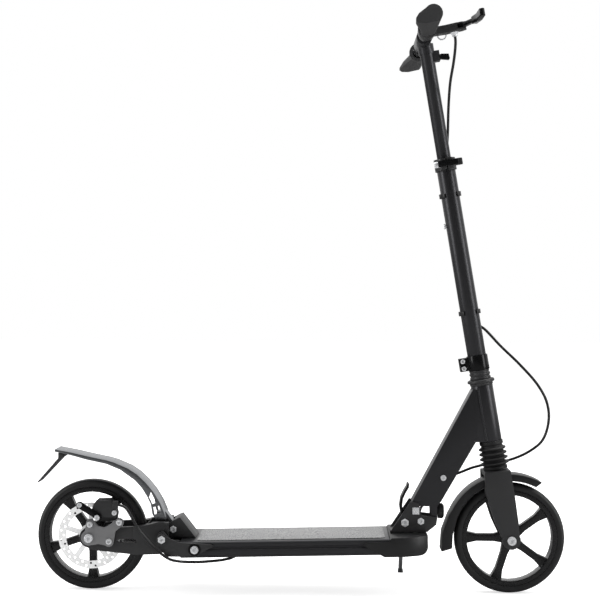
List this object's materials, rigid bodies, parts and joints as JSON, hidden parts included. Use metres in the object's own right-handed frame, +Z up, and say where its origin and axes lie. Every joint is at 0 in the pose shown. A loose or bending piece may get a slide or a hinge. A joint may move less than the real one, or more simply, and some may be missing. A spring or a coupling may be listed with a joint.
{
  "type": "kick scooter",
  "caption": "Folding kick scooter with large wheels, sprung fork, telescopic T-bar stem, hand disc brake, mudguard foot brake, fold pedal and kickstand.",
  "frame": {"origin": "middle of the overall box, on the ground that the wheels stand on", "axes": "+X forwards, +Y to the rider's left, +Z up"},
  "size_m": [0.96, 0.456, 1.0225],
  "materials": {
    "anodised_black": "satin",
    "painted_alloy": "semi-gloss",
    "black_steel": "gloss",
    "steel": "polished",
    "chrome": "polished",
    "silver_alloy": "satin",
    "grip_rubber": "matte",
    "tyre": "satin",
    "black_rubber": "matte",
    "gloss_black": "gloss",
    "plastic": "matte",
    "grit": "rough"
  },
  "bodies": {
    "deck": {"deck": "anodised_black", "grip_tape": "grit", "deck_nose": "plastic", "hinge_bracket": "painted_alloy", "fold_bolt": "steel", "fold_stop_bolt": "steel", "lock_pin": "steel", "kickstand_bracket": "black_steel", "rear_bracket": "painted_alloy", "swing_pivot_pin": "steel", "rear_block": "painted_alloy", "mudguard_pivot_bolt": "steel", "rear_spring": "black_rubber", "brake_cable_deck": "plastic"},
    "neck": {"down_tube": "anodised_black", "head_tube": "anodised_black", "headset_cup": "painted_alloy", "brake_cable_neck": "plastic"},
    "stem": {"steerer": "steel", "headset_nut": "painted_alloy", "stem_clamp": "black_steel", "lower_tube": "anodised_black", "height_clamp": "painted_alloy", "height_clamp_skewer": "steel", "cable_clip_1": "plastic", "cable_clip_2": "plastic", "brake_cable_loop": "plastic"},
    "button": {"height_button": "steel"},
    "clamp_lever": {"height_clamp_lever": "black_steel"},
    "fork": {"fork": "painted_alloy", "fork_bellows": "black_rubber", "fork_spring": "steel", "front_mudguard": "black_steel", "front_axle": "steel"},
    "front_wheel": {"front_tyre": "tyre", "front_wheel_core": "gloss_black", "front_bearings": "steel"},
    "handlebar": {"upper_tube": "anodised_black", "crossbar": "chrome", "grip_left": "grip_rubber", "grip_right": "grip_rubber", "brake_perch": "painted_alloy", "brake_cable_bar": "plastic"},
    "latch": {"bar_latch": "black_steel"},
    "hand_lever": {"brake_lever": "black_steel"},
    "knob": {"fold_knob": "plastic"},
    "pedal": {"fold_pedal": "black_steel"},
    "rear_arm": {"swing_arm": "painted_alloy", "brake_adapter": "steel", "brake_caliper": "painted_alloy", "rear_axle": "steel", "brake_cable_rear": "plastic"},
    "rear_wheel": {"rear_tyre": "tyre", "rear_wheel_core": "gloss_black", "rear_bearings": "steel", "brake_disc": "steel"},
    "caliper_lever": {"caliper_arm": "steel"},
    "mudguard": {"rear_mudguard": "silver_alloy", "mud_flap": "black_rubber"},
    "stand": {"kickstand": "steel"}
  },
  "joints": [
    {"name": "fold", "type": "hinge", "parent": "deck", "child": "neck", "pos_m": [0.1892, 0, 0.1284], "axis": [0, -1, 0], "range_deg": [0, 80], "deforming": ["brake_cable_neck"]},
    {"name": "steering", "type": "hinge", "parent": "neck", "child": "stem", "pos_m": [0.3765, 0, 0.1], "axis": [-0.1688, 0, 0.9856], "range_deg": [-60, 60], "deforming": ["brake_cable_loop"]},
    {"name": "fork_travel", "type": "slide", "parent": "stem", "child": "fork", "axis": [-0.1688, 0, 0.9856], "range_m": [0, 0.008], "stiffness_N_per_m": 15000, "springref_m": -0.01, "deforming": ["fork_bellows", "fork_spring"]},
    {"name": "front_wheel_spin", "type": "hinge", "parent": "fork", "child": "front_wheel", "pos_m": [0.38, 0, 0.1], "axis": [0, 1, 0], "continuous": true},
    {"name": "height", "type": "slide", "parent": "stem", "child": "handlebar", "axis": [-0.1688, 0, 0.9856], "range_m": [-0.12, 0], "deforming": ["brake_cable_bar"]},
    {"name": "height_button_press", "type": "slide", "parent": "stem", "child": "button", "axis": [0.9856, 0, 0.1688], "range_m": [0, 0.0015], "stiffness_N_per_m": 1500, "springref_m": -0.001},
    {"name": "height_clamp_open", "type": "hinge", "parent": "stem", "child": "clamp_lever", "pos_m": [0.28202, -0.025, 0.78183], "axis": [-0.1688, 0, 0.9856], "range_deg": [0, 120]},
    {"name": "bar_latch_open", "type": "hinge", "parent": "handlebar", "child": "latch", "pos_m": [0.24892, 0, 0.97502], "axis": [0, -1, 0], "range_deg": [0, 60]},
    {"name": "brake_lever_pull", "type": "hinge", "parent": "handlebar", "child": "hand_lever", "pos_m": [0.27819, -0.094, 1.01148], "axis": [0.1688, 0, -0.9856], "range_deg": [0, 18], "stiffness_Nm_per_rad": 2, "springref_deg": -2.86},
    {"name": "fold_pedal_press", "type": "hinge", "parent": "neck", "child": "pedal", "pos_m": [0.194, 0, 0.143], "axis": [0, -1, 0], "range_deg": [0, 20], "stiffness_Nm_per_rad": 2, "springref_deg": -5.73},
    {"name": "fold_knob_turn", "type": "hinge", "parent": "neck", "child": "knob", "pos_m": [0.25, 0, 0.147], "axis": [1, 0, 0], "range_deg": [0, 180]},
    {"name": "rear_suspension", "type": "hinge", "parent": "deck", "child": "rear_arm", "pos_m": [-0.2452, 0, 0.103], "axis": [0, 1, 0], "range_deg": [0, 4], "stiffness_Nm_per_rad": 120, "springref_deg": -5.73, "deforming": ["rear_spring", "brake_cable_rear"]},
    {"name": "rear_wheel_spin", "type": "hinge", "parent": "rear_arm", "child": "rear_wheel", "pos_m": [-0.38, 0, 0.1], "axis": [0, 1, 0], "continuous": true},
    {"name": "caliper_arm_pull", "type": "hinge", "parent": "rear_arm", "child": "caliper_lever", "pos_m": [-0.3636, -0.05, 0.1382], "axis": [0, 1, 0], "range_deg": [0, 18]},
    {"name": "mudguard_brake", "type": "hinge", "parent": "deck", "child": "mudguard", "pos_m": [-0.2296, 0, 0.1142], "axis": [0, -1, 0], "range_deg": [0, 8], "stiffness_Nm_per_rad": 8, "springref_deg": -8.59},
    {"name": "kickstand_swing", "type": "hinge", "parent": "deck", "child": "stand", "pos_m": [0.187, 0.052, 0.0632], "axis": [-0.006, 0.4519, 0.8921], "range_deg": [0, 85]}
  ],
  "couplings": [
    {"joint": "caliper_arm_pull", "follows": "brake_lever_pull", "ratio": 1}
  ]
}
